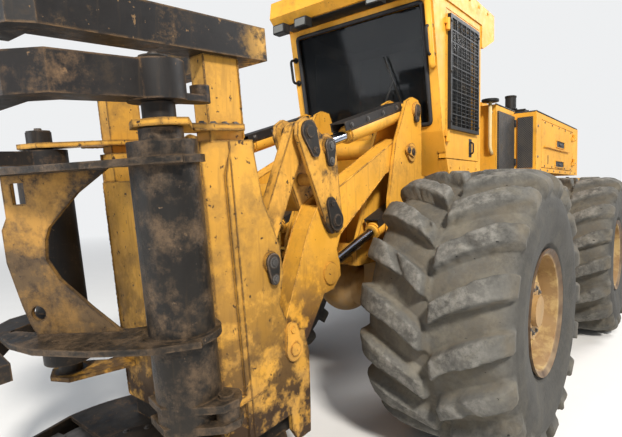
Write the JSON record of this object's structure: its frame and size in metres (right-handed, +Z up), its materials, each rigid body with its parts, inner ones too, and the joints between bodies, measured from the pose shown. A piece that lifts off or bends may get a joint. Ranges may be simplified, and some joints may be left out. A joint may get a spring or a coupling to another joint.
{
  "type": "wheeled feller buncher",
  "caption": "Articulated wheeled feller buncher with a lifting boom, a tilting disc-saw felling head with gathering arms, a guarded cab and a rear engine enclosure.",
  "frame": {"origin": "on the ground, under the middle of the machine's overall length and width", "axes": "+X forwards towards the felling head, +Y to the machine's left, +Z up"},
  "size_m": [6.7116, 2.902, 3.0703],
  "materials": {
    "yellow_paint": "gloss",
    "black_paint": "satin",
    "cream_paint": "gloss",
    "tyre_rubber": "matte",
    "bare_steel": "worn",
    "chromed_rod": "polished",
    "cast_housing": "matte",
    "window_glass": "clear",
    "seat_cloth": "matte",
    "lamp_lens": "clear"
  },
  "bodies": {
    "front_frame": {"front_chassis": "yellow_paint", "front_axle": "yellow_paint", "cab_shell": "yellow_paint", "cab_roof": "yellow_paint", "cab_glass": "window_glass", "cab_guards": "black_paint", "operator_seat": "seat_cloth", "work_lamps": "lamp_lens"},
    "rear_frame": {"rear_chassis": "yellow_paint", "rear_axle": "yellow_paint", "hood": "yellow_paint", "engine_block": "cast_housing", "cooling_grilles": "black_paint", "exhaust": "black_paint"},
    "front_left_wheel": {"front_left_tyre": "tyre_rubber", "front_left_rim": "cream_paint"},
    "front_right_wheel": {"front_right_tyre": "tyre_rubber", "front_right_rim": "cream_paint"},
    "rear_left_wheel": {"rear_left_tyre": "tyre_rubber", "rear_left_rim": "cream_paint"},
    "rear_right_wheel": {"rear_right_tyre": "tyre_rubber", "rear_right_rim": "cream_paint"},
    "entry_door": {"cab_door": "yellow_paint", "door_glass": "window_glass", "door_guard": "black_paint"},
    "left_engine_door": {"engine_door_left": "yellow_paint"},
    "right_engine_door": {"engine_door_right": "yellow_paint"},
    "tail_door": {"rear_door": "yellow_paint"},
    "boom": {"boom_arms": "yellow_paint"},
    "lift_barrel_pair": {"lift_barrels": "black_paint"},
    "lift_rod_pair": {"lift_rods": "chromed_rod"},
    "tilt_barrel_pair": {"tilt_barrels": "black_paint"},
    "tilt_rod_pair": {"tilt_rods": "chromed_rod"},
    "rocker_pin_pair": {"rocker_pins": "bare_steel"},
    "rocker_pair": {"rockers": "yellow_paint"},
    "link_pin_pair": {"link_pins": "bare_steel"},
    "link_pair": {"tilt_links": "yellow_paint"},
    "head_pin_pair": {"head_pins": "bare_steel"},
    "felling_head": {"head_tower": "yellow_paint", "saw_housing": "black_paint", "head_guard": "yellow_paint"},
    "saw": {"saw_disc": "bare_steel"},
    "left_gathering_arm": {"harvest_arm": "yellow_paint"},
    "right_gathering_arm": {"right_arm": "yellow_paint"},
    "upper_arm": {"accumulator_arm": "yellow_paint"},
    "left_steer_barrel": {"steer_barrel_left": "yellow_paint"},
    "left_steer_rod": {"steer_rod_left": "chromed_rod"},
    "right_steer_barrel": {"steer_barrel_right": "yellow_paint"},
    "right_steer_rod": {"steer_rod_right": "chromed_rod"}
  },
  "joints": [
    {"name": "articulation", "type": "hinge", "parent": "front_frame", "child": "rear_frame", "pos_m": [-0.56825, 0, 0.826], "axis": [0, 0, 1], "range_deg": [-40, 40]},
    {"name": "front_left_wheel_spin", "type": "hinge", "parent": "front_frame", "child": "front_left_wheel", "pos_m": [0.89425, 1.041, 0.826], "axis": [0, 1, 0], "continuous": true},
    {"name": "front_right_wheel_spin", "type": "hinge", "parent": "front_frame", "child": "front_right_wheel", "pos_m": [0.89425, -1.041, 0.826], "axis": [0, 1, 0], "continuous": true},
    {"name": "rear_left_wheel_spin", "type": "hinge", "parent": "rear_frame", "child": "rear_left_wheel", "pos_m": [-2.03075, 1.041, 0.826], "axis": [0, 1, 0], "continuous": true},
    {"name": "rear_right_wheel_spin", "type": "hinge", "parent": "rear_frame", "child": "rear_right_wheel", "pos_m": [-2.03075, -1.041, 0.826], "axis": [0, 1, 0], "continuous": true},
    {"name": "cab_door_swing", "type": "hinge", "parent": "front_frame", "child": "entry_door", "pos_m": [0.54925, 0.666, 1.76], "axis": [0, 0, -1], "range_deg": [0, 85]},
    {"name": "left_engine_door_swing", "type": "hinge", "parent": "rear_frame", "child": "left_engine_door", "pos_m": [-2.82575, 0.846, 1.745], "axis": [0, 0, 1], "range_deg": [0, 100]},
    {"name": "right_engine_door_swing", "type": "hinge", "parent": "rear_frame", "child": "right_engine_door", "pos_m": [-2.82575, -0.846, 1.745], "axis": [0, 0, -1], "range_deg": [0, 100]},
    {"name": "tail_door_swing", "type": "hinge", "parent": "rear_frame", "child": "tail_door", "pos_m": [-3.06675, -0.846, 1.7], "axis": [0, 0, 1], "range_deg": [0, 100]},
    {"name": "boom_lift", "type": "hinge", "parent": "front_frame", "child": "boom", "pos_m": [0.81025, 0, 1.799], "axis": [0, -1, 0], "range_deg": [0, 45]},
    {"name": "rocker_pin_turn", "type": "hinge", "parent": "boom", "child": "rocker_pin_pair", "pos_m": [1.68625, 0, 1.372], "axis": [0, 1, 0], "range_deg": [0, 32.32]},
    {"name": "rocker_turn", "type": "hinge", "parent": "rocker_pin_pair", "child": "rocker_pair", "pos_m": [1.68625, 0, 1.372], "axis": [0, 1, 0], "range_deg": [-7.85, 23.45]},
    {"name": "link_pin_turn", "type": "hinge", "parent": "rocker_pair", "child": "link_pin_pair", "pos_m": [1.91225, 0, 1.843], "axis": [0, -1, 0], "range_deg": [0, 33.69]},
    {"name": "link_turn", "type": "hinge", "parent": "link_pin_pair", "child": "link_pair", "pos_m": [1.91225, 0, 1.843], "axis": [0, -1, 0], "range_deg": [-8.61, 25.73]},
    {"name": "head_level", "type": "hinge", "parent": "boom", "child": "head_pin_pair", "pos_m": [2.05125, 0, 0.739], "axis": [0, 1, 0], "range_deg": [0, 34.08]},
    {"name": "head_tilt", "type": "hinge", "parent": "head_pin_pair", "child": "felling_head", "pos_m": [2.05125, 0, 0.739], "axis": [0, 1, 0], "range_deg": [-10, 30]},
    {"name": "lift_barrel_turn", "type": "hinge", "parent": "front_frame", "child": "lift_barrel_pair", "pos_m": [0.56425, 0, 1.49], "axis": [0, -1, 0], "range_deg": [0, 37.62]},
    {"name": "lift_rod_slide", "type": "slide", "parent": "lift_barrel_pair", "child": "lift_rod_pair", "axis": [0.9382, 0, -0.3461], "range_m": [0, 0.2528]},
    {"name": "tilt_barrel_turn", "type": "hinge", "parent": "front_frame", "child": "tilt_barrel_pair", "pos_m": [0.73125, 0, 2.102], "axis": [0, -1, 0], "range_deg": [0, 39.14]},
    {"name": "tilt_rod_slide", "type": "slide", "parent": "tilt_barrel_pair", "child": "tilt_rod_pair", "axis": [0.9528, 0, -0.3036], "range_m": [-0.04968, 0.14703]},
    {"name": "left_steer_barrel_turn", "type": "hinge", "parent": "rear_frame", "child": "left_steer_barrel", "pos_m": [-1.46825, 0.36, 0.935], "axis": [0, 0, -1], "range_deg": [-2.17, 2.17]},
    {"name": "left_steer_rod_slide", "type": "slide", "parent": "left_steer_barrel", "child": "left_steer_rod", "axis": [0.9991, -0.0416, 0], "range_m": [-0.21246, 0.21246]},
    {"name": "right_steer_barrel_turn", "type": "hinge", "parent": "rear_frame", "child": "right_steer_barrel", "pos_m": [-1.46825, -0.36, 0.935], "axis": [0, 0, -1], "range_deg": [-2.17, 2.17]},
    {"name": "right_steer_rod_slide", "type": "slide", "parent": "right_steer_barrel", "child": "right_steer_rod", "axis": [-0.9991, -0.0416, 0], "range_m": [-0.21246, 0.21246]},
    {"name": "left_arm_swing", "type": "hinge", "parent": "felling_head", "child": "left_gathering_arm", "pos_m": [2.70874, 0.56, 0.68148], "axis": [0.0872, 0, 0.9962], "range_deg": [0, 90]},
    {"name": "right_arm_swing", "type": "hinge", "parent": "felling_head", "child": "right_gathering_arm", "pos_m": [2.70874, -0.56, 0.68148], "axis": [-0.0872, 0, -0.9962], "range_deg": [0, 90]},
    {"name": "upper_arm_swing", "type": "hinge", "parent": "felling_head", "child": "upper_arm", "pos_m": [2.81202, 0.56, 1.86197], "axis": [0.0872, 0, 0.9962], "range_deg": [0, 90]},
    {"name": "saw_spin", "type": "hinge", "parent": "felling_head", "child": "saw", "pos_m": [2.64349, 0, 0.1652], "axis": [0.0872, 0, 0.9962], "continuous": true}
  ],
  "couplings": [
    {"joint": "rocker_pin_turn", "follows": "boom_lift", "ratio": 0.7172},
    {"joint": "rocker_turn", "follows": "head_tilt", "ratio": 0.7799},
    {"joint": "link_pin_turn", "follows": "boom_lift", "ratio": 0.7476},
    {"joint": "link_turn", "follows": "head_tilt", "ratio": 0.856},
    {"joint": "head_level", "follows": "boom_lift", "ratio": 0.7562},
    {"joint": "lift_barrel_turn", "follows": "boom_lift", "ratio": 0.8349},
    {"joint": "lift_rod_slide", "follows": "boom_lift", "m_per_rad": 0.3206},
    {"joint": "tilt_barrel_turn", "follows": "boom_lift", "ratio": 0.8686},
    {"joint": "tilt_rod_slide", "follows": "head_tilt", "m_per_rad": 0.2789},
    {"joint": "left_steer_barrel_turn", "follows": "articulation", "ratio": 0.0531},
    {"joint": "left_steer_rod_slide", "follows": "articulation", "m_per_rad": 0.3029},
    {"joint": "right_steer_barrel_turn", "follows": "articulation", "ratio": 0.0531},
    {"joint": "right_steer_rod_slide", "follows": "articulation", "m_per_rad": 0.3029}
  ]
}
